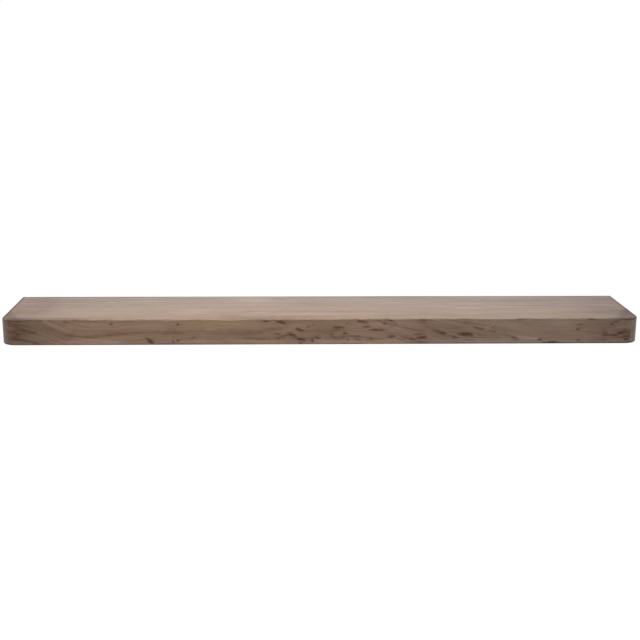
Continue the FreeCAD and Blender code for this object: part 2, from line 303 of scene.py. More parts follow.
# Soft patches: x, z, length, height, slope in degrees, and how dark, pale, rosy and grey they are.
PATCHES = (
    (480, 0, 700, 200, 0, (0, 0, 0, 0.7)),
    # A pale, faintly grey band along the whole bottom of the face: painted light thrown up from below.
    (0, -23, 3000, 12, 0, (0, 0.42, 0.20, 0.15)),
    (-705, 2, 48, 60, 0, (0.46, 0, 0.1, 0.9)),
    (-690, 18, 50, 26, 0, (0.12, 0, 0.2, 0.3)),
    (-672, 0, 56, 60, 0, (0.24, 0, -0.3, 0.5)),
    (-655, -23, 60, 9, 0, (0.40, 0, 0.1, 0.1)),
    (-475, -3, 70, 12, 0, (0.10, 0, 0.1, 0)),
    (-545, -2, 90, 12, 0, (0, 0.20, -0.1, 0)),
    (-370, -4, 120, 14, 0, (0.16, 0, 0, 0)),
    (-348, -13, 60, 10, 0, (0, 0.30, 0, 0)),
    (-420, -22, 90, 10, 0, (0.12, 0, -0.3, 0)),
    (-300, -23, 90, 9, 0, (0, 0.55, -0.3, 0)),
    (-540, -13, 100, 10, 0, (0.12, 0, -1.2, 0)),
    (-640, 4, 60, 26, -30, (0.12, 0, 0, 0.2)),
    (-731, 0, 24, 100, 0, (0.30, 0, 0.1, 0.7)),
    (-705, -23, 90, 10, -4, (0.24, 0, 0, 1.0)),
    (-540, 18, 190, 24, 0, (0, 0.55, 0, 0.1)),
    (-540, -16, 120, 14, 0, (0, 0.35, 0, 0.2)),
    (-490, -24, 80, 8, 0, (0, 0.45, 0, 0.4)),
    (-570, -24, 80, 8, 0, (0, 0.30, 0, 0)),
    (-400, 12, 120, 24, 0, (0, 0.35, 0.2, 0)),
    (-250, 19, 190, 22, 0, (0, 0.42, -0.8, 0)),
    (-150, 20, 110, 14, 0, (0, 0.25, 0, 0)),
    (-260, -3, 240, 13, 0, (0.18, 0, -0.2, 0)),
    (-270, 9, 120, 10, 0, (0, 0.2, 0, 0)),
    (-430, -12, 160, 12, 0, (0, 0.2, -0.2, 0)),
    (-165, -3, 120, 13, 0, (0.34, 0, 0.1, 0)),
    (-230, -22, 240, 12, 0, (0.05, 0, -0.2, 0)),
    (-50, 20, 70, 20, 0, (0, 0.25, 0.5, 0.1)),
    (-116, 9, 50, 10, 0, (0.26, 0, 0, 0)),
    (-68, 10, 50, 12, 0, (0, 0.65, 0.1, 0)),
    (-50, -21, 80, 16, 0, (0.32, 0, 0.4, 0.45)),
    (0, -22, 50, 9, 0, (0, 0.30, 0, 0)),
    (5, -2, 60, 14, 0, (0.22, 0, 0.1, 0)),
    (32, -3, 34, 26, 0, (0, 0.10, 0.4, 0)),
    (55, -24, 140, 8, 0, (0, 0.65, 0.4, 0)),
    (100, 4, 110, 30, 0, (0, 0.30, 0.1, 0)),
    (90, 21, 220, 18, 0, (0, 0.40, 0.1, 0.1)),
    (138, 17, 60, 20, 0, (0, 0.35, 0.2, 0)),
    (150, -22, 80, 12, 0, (0, 0.35, -0.3, 0)),
    (205, -14, 16, 10, 0, (0.2, 0, 0.3, 0)),
    (236, -24, 40, 10, 0, (0.38, 0, 0.5, 0.2)),
    (85, -14, 150, 12, 0, (0, 0.55, 0, 0)),
    (175, 9, 60, 12, 0, (0, 0.5, 0, 0)),
    (192, -13, 44, 10, 0, (0, 0.34, 0, 0)),
    (190, 20, 90, 20, -12, (0, 0.25, 0.1, 0.2)),
    (280, 20, 70, 20, 0, (0, 0.10, -0.1, 0.2)),
    (235, 26, 20, 14, 0, (0.18, 0, 0, 0)),
    (337, 22, 32, 20, -20, (0.22, 0, -0.3, 0)),
    (340, 7, 30, 8, -10, (0, 0.2, -0.4, 0)),
    (390, -10, 60, 16, 0, (0.10, 0, -0.5, 0)),
    (225, -18, 70, 18, 0, (0.10, 0, 0.2, 0)),
    (340, -24, 330, 14, 0, (0.10, 0, 0.2, 0.5)),
    (310, -4, 130, 20, -6, (0.08, 0, 0, 0)),
    (306, 9, 50, 10, 0, (0.16, 0, 0, 0)),
    (418, 10, 60, 24, 0, (0, 0.10, 0.3, 0)),
    (400, -13, 100, 20, 0, (0.08, 0, 0, 0)),
    (452, 20, 24, 20, 0, (0, 0.25, 0.1, 0)),
    (480, -4, 100, 22, 0, (0, 0.15, 0.2, 0)),
    (560, 19, 90, 20, 0, (0, 0.42, 0.1, 0)),
    (485, 21, 70, 14, 0, (0, 0.15, 0, 0)),
    (540, -20, 160, 16, 0, (0.10, 0, -0.1, 0.2)),
    (625, 6, 60, 50, 0, (0.12, 0, -0.2, -0.1)),
    (663, 8, 44, 22, 0, (0.22, 0, 0.2, 0)),
    (660, -23, 60, 9, 0, (0.26, 0, 0.4, 0)),
    (540, -3, 110, 14, 0, (0.16, 0, -0.2, 0)),
    (640, -20, 100, 16, 0, (0.20, 0, 0, 0.6)),
    (700, 8, 120, 70, 0, (0.28, 0, 0.3, 0.55)),
    (697, -12, 60, 26, 0, (0.18, 0, 0.2, 0.2)),
    # A pale grey strip on the right round corner: painted highlight where the corner turns towards the
    # light.
    (738, 0, 20, 100, 0, (0, 0.30, -0.3, 0.5)),
)

# Where the grain is quiet: x, z, length, height, and by how much.
QUIET = (
    (-690, 4, 120, 90, 0.8),
    (-620, 2, 90, 70, 0.5),
    (300, 20, 150, 30, 0.4),
    (540, 2, 300, 110, 0.7),
    (685, 16, 80, 40, 0.6),
)

# What is on top begins to show at the first of these heights above the board's middle, and shows fully
# at the second.
TOP_FADE = (26.0, 29.0)

# Painted shade: the top is darker towards its ends, where its rounded side edges turn away from the light:
# from this far out, to the very end, and by how much.
SHADED_TOP_ENDS = (740.0, 749.0)
TOP_END_SHADE = 0.9

# Painted light on the top: it is a little paler, and greyer from front to back, a painted sheen for the
# white surroundings mirrored at a low angle: the two places, and the greyness at each. It is never greyer
# than 1, so the second place lies behind the board.
TOP_PAINTED_LIGHT = 0.07
TOP_PAINTED_SHEEN = (-200.0, 60.0, 0.38, 1.20)

# Marks on the top face: x, y, length, width, slope in degrees, and how dark, pale and rosy they are.
TOP_MARKS = (
    (0, -8, 1500, 12, 0, (0.10, 0, 0)),
    (0, -238, 1000, 36, 0, (0.12, 0, -0.6)),
    (-650, -236, 220, 34, 0, (0.42, 0, 0.1)),
    # The next three marks darken the top's left end and its front corner: painted shade where less light
    # falls at the end and on its rounded side edge.
    (-705, -120, 140, 260, 0, (0.30, 0, 0.4)),
    (-742, -205, 130, 40, -62, (0.55, 0, 0)),
    (-705, -240, 110, 26, -8, (0.40, 0, 0)),
    (-600, -214, 220, 40, 0, (0.10, 0, 0)),
    (-120, -222, 460, 36, 0, (0.22, 0, 0)),
    (-480, -220, 160, 40, 0, (0.14, 0, 0)),
    (500, -220, 140, 40, 0, (0, 0.30, 0)),
    (-600, -40, 300, 60, 0, (0.16, 0, 0.1)),
    (-640, -80, 130, 24, 0, (0.12, 0, 0.1)),
    (-560, -8, 420, 22, 0, (0.15, 0, 0.4)),
    (-565, -56, 20, 9, 0, (0, 0.6, 0)),
    (-518, -60, 22, 10, 0, (0, 0.6, 0)),
    (-450, -96, 100, 14, 0, (0.18, 0, 0)),
    (-320, -165, 110, 60, 0, (0, 0.35, -0.3)),
    (-165, -164, 60, 8, 0, (0.45, 0, 0)),
    (-150, -174, 46, 8, 0, (0, 0.7, 0)),
    (-220, -210, 70, 46, 0, (0.12, 0, -0.5)),
    (-170, -45, 110, 50, 0, (0, 0.3, -0.3)),
    (-100, -30, 70, 20, 0, (0.2, 0, 0.2)),
    (190, -60, 40, 6, 0, (0.2, 0, 0)),
    (190, -70, 34, 8, 0, (0, 0.4, 0)),
    (190, -6, 240, 14, 0, (0.35, 0, 0.2)),
    (160, -214, 90, 16, 0, (0.22, 0, 0)),
    (366, -94, 84, 9, 0, (0, 0.8, 0.3)),
    (366, -106, 90, 10, 0, (0.4, 0, 0.2)),
    (356, -138, 100, 20, 0, (0, 0.4, 0.3)),
    (240, -100, 320, 120, 0, (0, 0.12, 0)),
    (450, -140, 400, 120, 0, (0, 0.22, 0.1)),
    (-600, -30, 200, 50, 0, (0, 0.15, 0)),
    (470, -60, 260, 110, 0, (0, 0.05, 0.3)),
    (345, -196, 100, 14, 0, (0, 0.5, -0.4)),
    (300, -214, 70, 18, 0, (0.15, 0, -0.4)),
    (506, -96, 140, 8, 0, (0, 0.6, 0.3)),
    (506, -108, 160, 10, 0, (0.45, 0, 0.1)),
    (506, -121, 150, 9, 0, (0, 0.5, 0.3)),
    (496, -180, 56, 8, 0, (0, 0.3, 0.1)),
    (590, -40, 380, 80, 0, (0.12, 0, 0.2)),
    (520, -26, 260, 44, 0, (0, 0.20, -0.2)),
    (-300, -26, 240, 40, 0, (0.10, 0, 0)),
    (640, -110, 220, 120, 0, (0, 0.10, 0.3)),
    (690, -104, 80, 16, 0, (0, 0.4, 0.2)),
    # The last four marks darken the top's right end and its front corner: painted shade where less light
    # falls at the end and on its rounded side edge.
    (680, -170, 220, 90, 0, (0.12, 0, 0.2)),
    (715, -120, 150, 260, 0, (0.20, 0, 0.1)),
    (744, -205, 160, 64, 68, (0.65, 0, 0.1)),
    (722, -240, 80, 22, 0, (0.25, 0, 0.1)),
)

# How the grain runs up or down along the face: x, and its slope there.
GRAIN_SLOPES = (
    (-750, 0.0), (-700, -0.08), (-665, -0.25), (-630, -0.50), (-585, -0.15), (-530, 0.02),
    (-450, 0.09), (-380, 0.03), (-300, 0.0), (-180, -0.05), (-110, 0.15), (-85, 0.0),
    (-50, -0.2), (0, 0.1), (70, 0.0), (125, -0.12), (180, -0.24), (270, -0.28),
    (340, -0.12), (420, -0.2), (450, -0.3), (500, -0.05), (640, 0.0), (700, 0.12),
)

# The face reaches this far to each side, and the grain keeps its height at one x. Round a knot it is
# moved by a share of the distance to the knot's middle, out to about this many times the knot's size.
FACE_HALF = 750.0
GRAIN_FIXED_AT = -300.0
KNOT_BEND = 0.75
KNOT_BEND_REACH = 2.6

# How marks are drawn on the front: how far their outlines waver along x and z, in millimetres, how
# quickly patches fade, how much of a streak is always there and how much comes and goes, and how strong
# and how wide the faint halo round a streak is beside the streak itself.
WAVER = (1.2, 0.6)
PATCH_FADE = 1.4
STREAK_STEADY = 0.75
STREAK_BROKEN = 0.45
STREAK_HALO = 0.3
STREAK_HALO_WIDTH = 3

# A knot has a dark middle in a wide faint halo: how dark each is, and the square of how many times the
# knot's size the halo reaches.
KNOT_MIDDLE = 0.85
KNOT_HALO = 0.15
KNOT_HALO_REACH = 5

# The sum of these waves makes outlines waver: their sizes, and how many millimetres along x and z a
# wave of size 1 takes for each radian of its turn.
WAVE_SIZES = (1.0, 0.6, 0.35)
WAVE_RUN_X = 9
WAVE_RUN_Z = 4

# No place on the face has quieter grain than this.
QUIETEST = 0.85


# ---------- Shader nodes ----------

class Nodes:
    """A node tree, with short ways to add and link its nodes."""

    def __init__(self, tree):
        self.tree = tree

    def feed(self, socket, value):
        """Links a socket to another node's output, or sets its own value."""
        if isinstance(value, bpy.types.NodeSocket):
            self.tree.links.new(value, socket)
        else:
            socket.default_value = value

    def node(self, kind, inputs=(), **settings):
        """Adds a node. inputs gives its sockets by name or by place."""
        made = self.tree.nodes.new(kind)
        for name, value in settings.items():
            setattr(made, name, value)
        for place, value in dict(inputs).items():
            self.feed(made.inputs[place], value)
        return made

    def math(self, operation, *values, clamp=False):
        """A Math node's result."""
        inputs = dict(enumerate(values))
        return self.node("ShaderNodeMath", inputs, operation=operation, use_clamp=clamp).outputs[0]

    def added(self, value, pattern, amount, clamp=False):
        """value plus amount times the pattern."""
        return self.math("MULTIPLY_ADD", pattern, amount, value, clamp=clamp)

    def varied(self, value, pattern, amount, clamp=False):
        """value raised where a pattern of 0 to 1 is over its middle, and lowered where it is under."""
        return self.added(value, self.math("SUBTRACT", pattern, 0.5), amount, clamp=clamp)


class Shader(Nodes):
    """A material's nodes: its surface, and the patterns that feed it."""

    def __init__(self, name):
        self.material = bpy.data.materials.new(name)
        self.material.use_nodes = True
        super().__init__(self.material.node_tree)
        self.tree.nodes.clear()
        self.surface = self.node("ShaderNodeBsdfPrincipled")
        self.node("ShaderNodeOutputMaterial", {"Surface": self.surface.outputs[0]})

    def finished(self, looks):
        """Sets the surface's inputs by name, and returns the material."""
        for name, value in looks.items():
            self.feed(self.surface.inputs[name], value)
        return self.material

    def vector(self, operation, *values):
        """A Vector Math node's result."""
        return self.node("ShaderNodeVectorMath", dict(enumerate(values)), operation=operation).outputs[0]

    def parts(self, vector):
        """The three numbers of a vector."""
        return self.node("ShaderNodeSeparateXYZ", {0: vector}).outputs

    def joined(self, x, y=0.0, z=0.0):
        """A vector of three numbers."""
        return self.node("ShaderNodeCombineXYZ", {0: x, 1: y, 2: z}).outputs[0]

    def place_mm(self):
        """A point's place in the row frame, in millimetres. It stays with the piece when that moves."""
        here = self.node("ShaderNodeTexCoord").outputs["Object"]
        return self.vector("MULTIPLY", here, (1 / MM,) * 3)

    def drawn(self, name, output="Fac"):
        """What draw_figure wrote to the mesh under a name. It is 0 on a mesh without it."""
        return self.node("ShaderNodeAttribute", attribute_name=name).outputs[output]

    def noise(self, place, size, detail=2.0, roughness=0.5, distortion=0.0, output=0):
        """Noise from 0 to 1, with features of about this size along X, Y and Z."""
        inputs = {
            "Vector": self.vector("DIVIDE", place, size),
            "Scale": 1.0,
            "Detail": detail,
            "Roughness": roughness,
            "Distortion": distortion,
        }
        return self.node("ShaderNodeTexNoise", inputs).outputs[output]

    def remap(self, value, low, high, to_low=0.0, to_high=1.0):
        """Takes low..high to to_low..to_high, smoothly, and holds it there."""
        inputs = {"Value": value, "From Min": low, "From Max": high, "To Min": to_low, "To Max": to_high}
        return self.node("ShaderNodeMapRange", inputs, interpolation_type="SMOOTHSTEP").outputs[0]

    def ramp(self, value, stops):
        """A colour from a ramp of (position, colour) stops."""
        made = self.node("ShaderNodeValToRGB", {"Fac": value})
        ramp = made.color_ramp
        while len(ramp.elements) < len(stops):
            ramp.elements.new(1.0)
        for element, (position, colour) in zip(ramp.elements, stops):
            element.position = position
            element.color = (*colour, 1.0)
        return made.outputs[0]

    def mix(self, share, first, second, blend="MIX"):
        """Colour first changed to second by share."""
        made = self.node("ShaderNodeMix", data_type="RGBA", blend_type=blend, clamp_factor=True)
        for place, value in ((0, share), (6, first), (7, second)):
            self.feed(made.inputs[place], value)
        return made.outputs[2]

    def tinted(self, colour, share, tint):
        """colour multiplied by tint, by share."""
        return self.mix(share, colour, (*tint, 1.0), "MULTIPLY")

    def bump(self, height, depth):
        """A normal from a height of 0 to 1, depth metres deep."""
        return self.node("ShaderNodeBump", {"Height": height, "Strength": 1.0, "Distance": depth}).outputs[0]


# ---------- Acacia ----------

# Its browns, from tone 0 to tone 1.
ACACIA_BROWNS = (
    (0.00, (0.048, 0.022, 0.011)),
    (0.25, (0.112, 0.058, 0.031)),
    (0.50, (0.205, 0.127, 0.083)),
    (0.75, (0.285, 0.186, 0.128)),
    (1.00, (0.370, 0.255, 0.180)),
)

# The tone of plain wood, and how much each pattern and mark changes it.
MIDDLE_TONE = 0.53
SLOW_CHANGE = 0.30
BAND_CHANGE = 0.50
FIBRE_CHANGE = 0.36
FLECK_CHANGE = 0.36
PORE_CHANGE = -0.14
PALE_CHANGE = 0.32
DARK_CHANGE = -0.50

# What the colour is multiplied by where the wood is golden, rosy or grey, and where the top has its painted
# sheen, and how much the wood wavers between golden and rosy.
GOLDEN = (1.01, 1.02, 0.82)
ROSY = (1.05, 0.94, 1.10)
GREY = (0.98, 1.13, 1.28)
SHEEN_TINT = (0.97, 1.20, 1.45)
HUE_CHANGE = 1.6

# Across the grain: the middle of the tree, well below the boards, the width of a year's ring and how far
# it strays, in millimetres, the plain tone, and how much rings, wear and specks change it.
PITH = (0.0, 60.0, -210.0)
RING_WIDTH = 3.0
RING_STRAY = 12.0
END_TONE = 0.36
RING_CHANGE = 0.35
WEAR_CHANGE = 0.30
SPECK_CHANGE = 0.5

# Marks on the top waver by up to half of this along X and Y, in millimetres, in waves of this size. They
# fade out between these two shares of their half size, and reach through any thickness.
TOP_WAVER = (26.0, 10.0, 0.0)
TOP_WAVE_SIZE = (40.0, 12.0, 12.0)
TOP_MARK_FADE = (0.4, 1.3)
ANY_HEIGHT = 1e6

# Faces are upright, and cut across the grain, where their direction along an axis is in these ranges.
# Pores are where their noise is in its range. Flecks break up dark marks: where flecks go from the first
# of the four to the second, darkness is multiplied by the third to the fourth.
UPRIGHT = (0.3, 0.9)
CUT_ACROSS = (0.80, 0.98)
PORES = (0.66, 0.76)
FLECK_BREAKS = (0.2, 0.8, 1.2, 0.75)

# The oiled surface: how strongly it mirrors, how rough it is, how much rougher fibres and pores make
# it, and the depth of its pores in metres.
OIL_IOR = 1.3
ROUGHNESS = 0.40
FIBRE_ROUGHNESS = 0.14
PORE_ROUGHNESS = 0.15
PORE_DEPTH = 0.00006


def top_marks(s, here):
    """How dark, pale and rosy the top face is, as a vector, and 1 on that face."""
    waver = s.noise(here, TOP_WAVE_SIZE, output="Color")
    place = s.vector("MULTIPLY_ADD", s.vector("SUBTRACT", waver, (0.5, 0.5, 0.5)), TOP_WAVER, here)
    total = (0.0, 0.0, 0.0)
    for x, y, length, width, slope, tones in TOP_MARKS:
        inputs = {
            "Vector": place,
            "Location": (x, y, 0.0),
            "Rotation": (0.0, 0.0, math.radians(slope)),
            "Scale": (length / 2, width / 2, ANY_HEIGHT),
        }
        near = s.node("ShaderNodeMapping", inputs, vector_type="TEXTURE").outputs[0]
        distance = s.node("ShaderNodeVectorMath", {0: near}, operation="LENGTH").outputs["Value"]
        inside = s.remap(distance, *TOP_MARK_FADE, 1.0, 0.0)
        total = s.vector("MULTIPLY_ADD", inside, tones, total)
    x, y, z = s.parts(here)
    # Painted shade on the top towards its very ends.
    end_shade = s.remap(s.math("ABSOLUTE", x), *SHADED_TOP_ENDS)
    total = s.vector("MULTIPLY_ADD", end_shade, (TOP_END_SHADE, 0.0, 0.0), total)
    on_top = s.remap(z, *TOP_FADE)
    return s.vector("MULTIPLY", total, on_top), on_top


def end_grain(s, place):
    """The colour of the wood where its fibres are cut across, with its rings. The grain runs along X in
    place."""
    _, y, z = s.parts(s.vector("SUBTRACT", place, PITH))
    stray = s.noise(place, (60.0, 25.0, 25.0), detail=3.0)
    wear = s.noise(place, (60.0, 30.0, 12.0), detail=3.0)
    specks = s.noise(place, (5.0, 0.9, 0.9))
    reach = s.math("SQRT", s.math("MULTIPLY_ADD", y, y, s.math("MULTIPLY", z, z)))
    reach = s.added(reach, stray, RING_STRAY)
    rings = s.noise(s.joined(reach), (RING_WIDTH, 1.0, 1.0))
    tone = s.varied(END_TONE, rings, RING_CHANGE)
    tone = s.varied(tone, wear, WEAR_CHANGE)
    tone = s.varied(tone, specks, SPECK_CHANGE, clamp=True)
    return s.ramp(tone, ACACIA_BROWNS)


def place_in_log(s, here, level, grain_axis, cut_at):
    """Where a point of a board was in the tree, with the grain along X. level is 1 on level faces, where
    the grain of the front isn't followed."""
    place = here
    if grain_axis == 1:
        x, y, z = s.parts(here)
        place = s.joined(y, x, z)
    upright = s.remap(level, *UPRIGHT, 1.0, 0.0)
    moved = s.vector("MULTIPLY", s.drawn("grain_shift", "Vector"), upright)
    return s.vector("ADD", s.vector("ADD", place, moved), cut_at)


def hue_grey_and_sheen(s, colour, hue, painted_sheen):
    """colour, golden or rosy by its hue, and greyer where it is drawn grey or carries the top's painted
    sheen.
    """
    colour = s.tinted(colour, s.math("MULTIPLY", hue, -1.0, clamp=True), GOLDEN)
    colour = s.tinted(colour, s.math("MAXIMUM", hue, 0.0), ROSY)
    colour = s.tinted(colour, s.drawn("greyness"), GREY)
    return s.tinted(colour, painted_sheen, SHEEN_TINT)


def acacia(name, grain_axis=0, cut_at=(0.0, 0.0, 0.0)):
    """Oiled brown acacia with its grain along X or, for a grain_axis of 1, along Y. cut_at is where the
    board was cut from the log, so that boards cut at different places have different figures."""
    s = Shader(name)
    here = s.place_mm()
    facing = s.parts(s.vector("ABSOLUTE", s.node("ShaderNodeTexCoord").outputs["Normal"]))
    place = place_in_log(s, here, facing[2], grain_axis, cut_at)
    marks, on_top = top_marks(s, here)
    dark, pale, rosy = s.parts(s.vector("ADD", s.drawn("figure_and_shade", "Vector"), marks))
    lively = s.math("SUBTRACT", 1.0, s.drawn("quiet"))

    # The sizes are along the grain, across it and through the board.
    slow = s.noise(place, (240.0, 30.0, 14.0))
    bands = s.noise(place, (300.0, 9.0, 4.0), detail=4.0, roughness=0.6, distortion=0.6)
    fibres = s.noise(place, (55.0, 1.1, 0.8), detail=3.0, roughness=0.65)
    flecks = s.noise(place, (16.0, 2.2, 1.3), detail=3.0, roughness=0.6)
    pores = s.remap(s.noise(place, (9.0, 0.45, 0.38), detail=1.0), *PORES)
    hue = s.varied(rosy, s.noise(place, (170.0, 45.0, 22.0)), HUE_CHANGE)

    tone = s.varied(MIDDLE_TONE, slow, SLOW_CHANGE)
    # Painted light: the top is made a little paler than the other faces.
    tone = s.added(tone, on_top, TOP_PAINTED_LIGHT)
    tone = s.varied(tone, bands, s.math("MULTIPLY", lively, BAND_CHANGE))
    tone = s.varied(tone, fibres, FIBRE_CHANGE)
    tone = s.varied(tone, flecks, s.math("MULTIPLY", lively, FLECK_CHANGE))
    tone = s.added(tone, pores, PORE_CHANGE)
    tone = s.added(tone, pale, PALE_CHANGE)
    dark = s.math("MULTIPLY", dark, s.remap(flecks, *FLECK_BREAKS))
    tone = s.added(tone, dark, DARK_CHANGE, clamp=True)

    # Painted sheen: the top turns greyer towards the back.
    painted_sheen = s.math("MULTIPLY", s.remap(s.parts(here)[1], *TOP_PAINTED_SHEEN), on_top)
    colour = hue_grey_and_sheen(s, s.ramp(tone, ACACIA_BROWNS), hue, painted_sheen)
    on_end = s.remap(facing[grain_axis], *CUT_ACROSS)
    colour = s.mix(on_end, colour, end_grain(s, place))

    rough = s.added(s.added(ROUGHNESS, fibres, FIBRE_ROUGHNESS), pores, PORE_ROUGHNESS)
    height = s.added(s.math("MULTIPLY", pores, -1.0), fibres, 0.5)
    normal = s.bump(height, PORE_DEPTH)
    return s.finished({"Base Color": colour, "Roughness": rough, "Normal": normal, "IOR": OIL_IOR})


# ---------- Other materials ----------

# Ramps of colours, each colour with its place on the ramp.
PINE = ((0.0, (0.36, 0.235, 0.125)), (0.45, (0.58, 0.43, 0.26)), (1.0, (0.70, 0.56, 0.37)))
BEECH = ((0.0, (0.38, 0.22, 0.12)), (0.5, (0.55, 0.37, 0.22)), (1.0, (0.64, 0.47, 0.30)))
YELLOW_ZINC = ((0.3, (0.62, 0.44, 0.16)), (0.5, (0.74, 0.58, 0.27)), (0.7, (0.70, 0.50, 0.32)))
BRIGHT_ZINC = ((0.3, (0.42, 0.43, 0.45)), (0.7, (0.62, 0.63, 0.65)))
COAT_BLACKS = ((0.0, (0.012, 0.012, 0.013)), (1.0, (0.075, 0.074, 0.072)))

# The depth in metres of saw marks, turning marks and orange peel.
SAW_DEPTH = 0.0001
TURNING_DEPTH = 0.00003
PEEL_DEPTH = 0.00008


def sawn_wood(name, grain_axis, colours):
    """Sawn timber for the hidden frame, with its grain along one axis (0 for X, 1 for Y)."""
    s = Shader(name)
    place = s.place_mm()

    def grain(along, across, **settings):
        """Noise with features this long along the grain and this wide across it."""
        size = [across] * 3
        size[grain_axis] = along
        return s.noise(place, tuple(size), **settings)

    rings = grain(420.0, 3.2, detail=3.0, roughness=0.55, distortion=0.5)
    fibres = grain(30.0, 0.7, roughness=0.6)
    saw_marks = grain(1.4, 60.0)
    tone = s.varied(s.varied(0.5, rings, 1.3), fibres, 0.5, clamp=True)
    rough = s.added(0.55, fibres, 0.2)
    normal = s.bump(s.added(fibres, saw_marks, 0.7), SAW_DEPTH)
    return s.finished({"Base Color": s.ramp(tone, colours), "Roughness": rough, "Normal": normal})


def plated_metal(name, colours):
    """Zinc plated steel: a thin uneven plating with fine turning marks."""
    s = Shader(name)
    place = s.place_mm()
    clouds = s.noise(place, (3.0, 3.0, 3.0), detail=3.0, roughness=0.6)
    turning_marks = s.noise(place, (4.0, 4.0, 0.3))
    colour = s.ramp(clouds, colours)
    rough = s.added(0.22, clouds, 0.25)
    normal = s.bump(turning_marks, TURNING_DEPTH)
    return s.finished({"Base Color": colour, "Metallic": 1.0, "Roughness": rough, "Normal": normal})


def powder_coat():
    """Matt black powder coat on the bracket, with orange peel and faint rub marks along the rods."""
    s = Shader("bracket_steel")
    place = s.place_mm()
    peel = s.noise(place, (1.3, 1.3, 1.3), roughness=0.6)
    rubbed = s.noise(place, (1.2, 70.0, 1.2), detail=3.0, roughness=0.6)
    rubbed = s.remap(rubbed, 0.60, 0.78)
    dust = s.noise(place, (40.0, 40.0, 40.0), detail=3.0)
    tone = s.added(s.math("MULTIPLY", dust, 0.5), rubbed, 0.5, clamp=True)
    rough = s.added(0.56, rubbed, -0.12)
    normal = s.bump(peel, PEEL_DEPTH)
    return s.finished({"Base Color": s.ramp(tone, COAT_BLACKS), "Roughness": rough, "Normal": normal})


def dress(nodes, material):
    """Gives CAD nodes a material."""
    for name in nodes:
        mesh = frame["nodes"][name].data
        mesh.materials.clear()
        mesh.materials.append(material)


# ---------- The front rail ----------

def rail_outline(low, high):
    """Points of the rail's outer edge in plan, from the left end round the front to the right end,
    and the direction outwards at each of them."""
    centre_x = high.x - CORNER_RADIUS
    centre_y = low.y + CORNER_RADIUS
    quarter = np.linspace(0.0, math.pi / 2, CORNER_STEPS + 1)
    corner = np.stack([np.sin(quarter), -np.cos(quarter)], 1)
    columns = round(2 * centre_x / COLUMN_SPACING)
    straight_x = np.linspace(-centre_x, centre_x, columns + 1)[1:-1]
    straight = np.stack([straight_x, np.full_like(straight_x, low.y)], 1)
    ahead = np.tile([0.0, -1.0], (len(straight_x), 1))

    right = corner * CORNER_RADIUS + (centre_x, centre_y)
    left = (right * (-1, 1))[::-1]
    left_out = (corner * (-1, 1))[::-1]
    start = np.array([[low.x, high.y]])
    end = np.array([[high.x, high.y]])
    points = np.concatenate([start, left, straight, right, end])
    outwards = np.concatenate([[[-1.0, 0.0]], left_out, ahead, corner, [[1.0, 0.0]]])
    return points, outwards


def rail_profile(low, high):
    """The rail's section as (inset, height) pairs, from under it round the front to its top."""
    quarter = np.linspace(0.0, math.pi / 2, EDGE_STEPS + 1)
    round_edge = np.stack([1 - np.sin(quarter), -np.cos(quarter)], 1) * EDGE_RADIUS
    lower = round_edge + (0.0, low.z + EDGE_RADIUS)
    upper = (lower * (1, -1))[::-1]
    face_z = np.linspace(lower[-1, 1], upper[0, 1], FACE_ROWS + 1)[1:-1]
    face = np.stack([np.zeros_like(face_z), face_z], 1)
    top = np.array([(inset, high.z) for inset in TOP_INSETS])
    under = (top * (1, -1))[::-1]
    return np.concatenate([under, lower, face, upper, top])


def rail_faces(rows, columns, inner):
    """The rail's faces: its skin, the level strips that run back from it, its back and its two ends. The
    points of the skin come first, row by row, then those of the back's lower and upper edge, which lie
    behind the columns named by inner."""
    at = np.arange(rows * columns).reshape(rows, columns)
    below = rows * columns + np.arange(len(inner))
    above = below + len(inner)
    faces = []
    for r in range(rows - 1):
        for c in range(columns - 1):
            faces.append((at[r, c], at[r, c + 1], at[r + 1, c + 1], at[r + 1, c]))
    for k in range(len(inner) - 1):
        here, there = inner[k], inner[k + 1]
        faces.append((below[k], below[k + 1], at[0, there], at[0, here]))
        faces.append((at[-1, here], at[-1, there], above[k + 1], above[k]))
        faces.append((above[k], above[k + 1], below[k + 1], below[k]))
    faces.append(tuple(at[:, 0]))
    faces.append(tuple(at[::-1, -1]))
    return [tuple(map(int, face)) for face in faces]


def rail_mesh():
    """A closed mesh of the front rail, fine enough on its face to hold the figure of the wood."""
    low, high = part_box("front_rail")
    points, outwards = rail_outline(low, high)
    profile = rail_profile(low, high)
    rows, columns = len(profile), len(points)
    plan = points[None] - outwards[None] * profile[:, None, :1]
    heights = np.repeat(profile[:, 1:], columns, 1)[..., None]
    skin = np.concatenate([plan, heights], 2).reshape(-1, 3)

    inner = np.arange(CORNER_STEPS + 1, columns - CORNER_STEPS - 1)
    back = []
    for z in (low.z, high.z):
        edge = np.full((len(inner), 3), (0.0, high.y, z))
        edge[:, 0] = points[inner, 0]
        back.append(edge)

    mesh = bpy.data.meshes.new("front_rail_board")
    vertices = np.concatenate([skin, *back]).tolist()
    mesh.from_pydata(vertices, [], rail_faces(rows, columns, inner))
    merged = bmesh.new()
    merged.from_mesh(mesh)
    bmesh.ops.remove_doubles(merged, verts=merged.verts, dist=MERGE_DISTANCE)
    bmesh.ops.dissolve_degenerate(merged, dist=MERGE_DISTANCE, edges=merged.edges)
    merged.to_mesh(mesh)
    merged.free()
    mesh.shade_smooth()
    mesh.set_sharp_from_angle(angle=math.radians(RAIL_SHARP))
    return mesh


